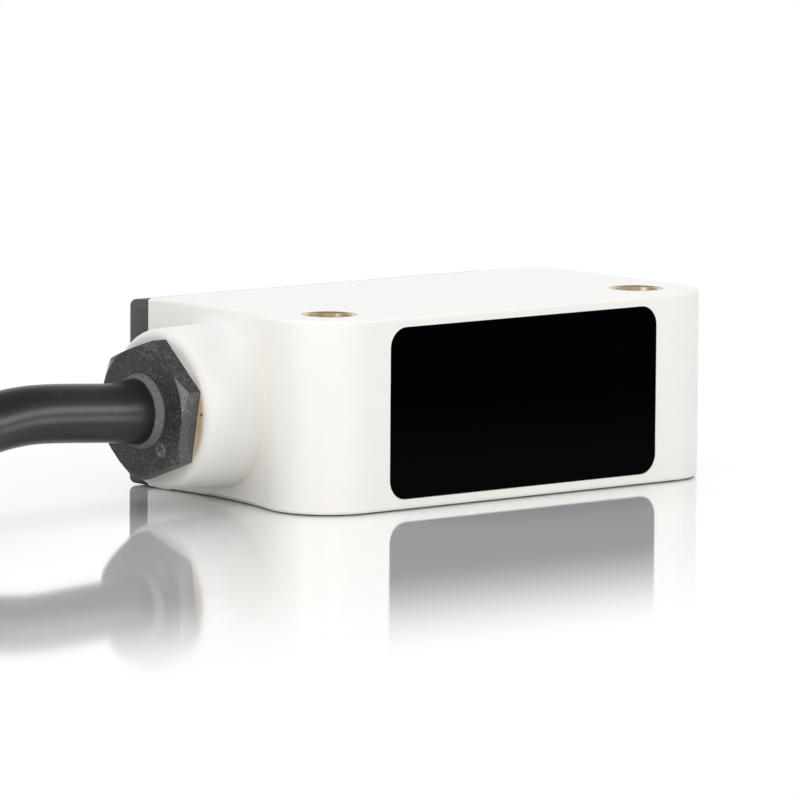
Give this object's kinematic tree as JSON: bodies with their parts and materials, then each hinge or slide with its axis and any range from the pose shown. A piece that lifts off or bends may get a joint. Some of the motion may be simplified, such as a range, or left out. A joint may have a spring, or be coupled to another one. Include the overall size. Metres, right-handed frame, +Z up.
{
  "type": "diffuse photoelectric sensor",
  "caption": "Block photoelectric sensor lying on its fixing side, with a dark front window, two through bushes and a gland with a tied hank of cable.",
  "frame": {"origin": "middle of the two fixing holes, on the face that the sensor rests on", "axes": "+X along the front window, away from the cable; +Y from the window to the rear cover; +Z up, along the fixing holes"},
  "size_m": [0.1819, 0.0511, 0.0276],
  "materials": {
    "housing_plastic": "lightly textured, semi-gloss",
    "window_plastic": "polished",
    "cover_plastic": "fine texture",
    "nut_plastic": "moulded, satin",
    "brass": "turned, lightly polished",
    "jacket": "satin",
    "seal_rubber": "satin",
    "washer_plastic": "moulded",
    "holder_plastic": "black, light absorbing",
    "lens_plastic": "clear, polished",
    "board": "solder resist",
    "tinned_metal": "bright tin",
    "pin_metal": "gold flash",
    "chip_plastic": "moulded",
    "ceramic": "fired",
    "can_metal": "drawn",
    "led_epoxy": "clear tinted",
    "diode_epoxy": "filter black",
    "lamp_red": "tinted",
    "core_brown_pvc": "extruded",
    "core_blue_pvc": "extruded",
    "core_black_pvc": "extruded",
    "tie_plastic": "satin"
  },
  "bodies": {
    "root": {"housing": "housing_plastic", "front_window": "window_plastic", "bush_left": "brass", "bush_right": "brass", "rear_cover": "cover_plastic", "cover_seal": "seal_rubber", "gland_nut": "nut_plastic", "gland_washer": "washer_plastic", "gland_seal": "seal_rubber", "cable_entry": "jacket", "lens_holder": "holder_plastic", "emitter_lens": "lens_plastic", "receiver_lens": "lens_plastic", "optics_board": "board", "emitter_led": "led_epoxy", "receiver_diode": "diode_epoxy", "shield_can": "tinned_metal", "main_board": "board", "board_pins": "pin_metal", "control_chip": "chip_plastic", "output_transistor": "chip_plastic", "supply_capacitor": "can_metal", "chip_resistors": "chip_plastic", "chip_capacitors": "ceramic", "indicator_led": "lamp_red", "indicator_lens": "lamp_red", "core_brown": "core_brown_pvc", "core_blue": "core_blue_pvc", "core_black": "core_black_pvc", "cable": "jacket", "cable_hank": "jacket", "cable_ties": "tie_plastic", "lead_brown": "core_brown_pvc", "lead_blue": "core_blue_pvc", "lead_black": "core_black_pvc", "lead_tips": "tinned_metal"}
  },
  "joints": []
}
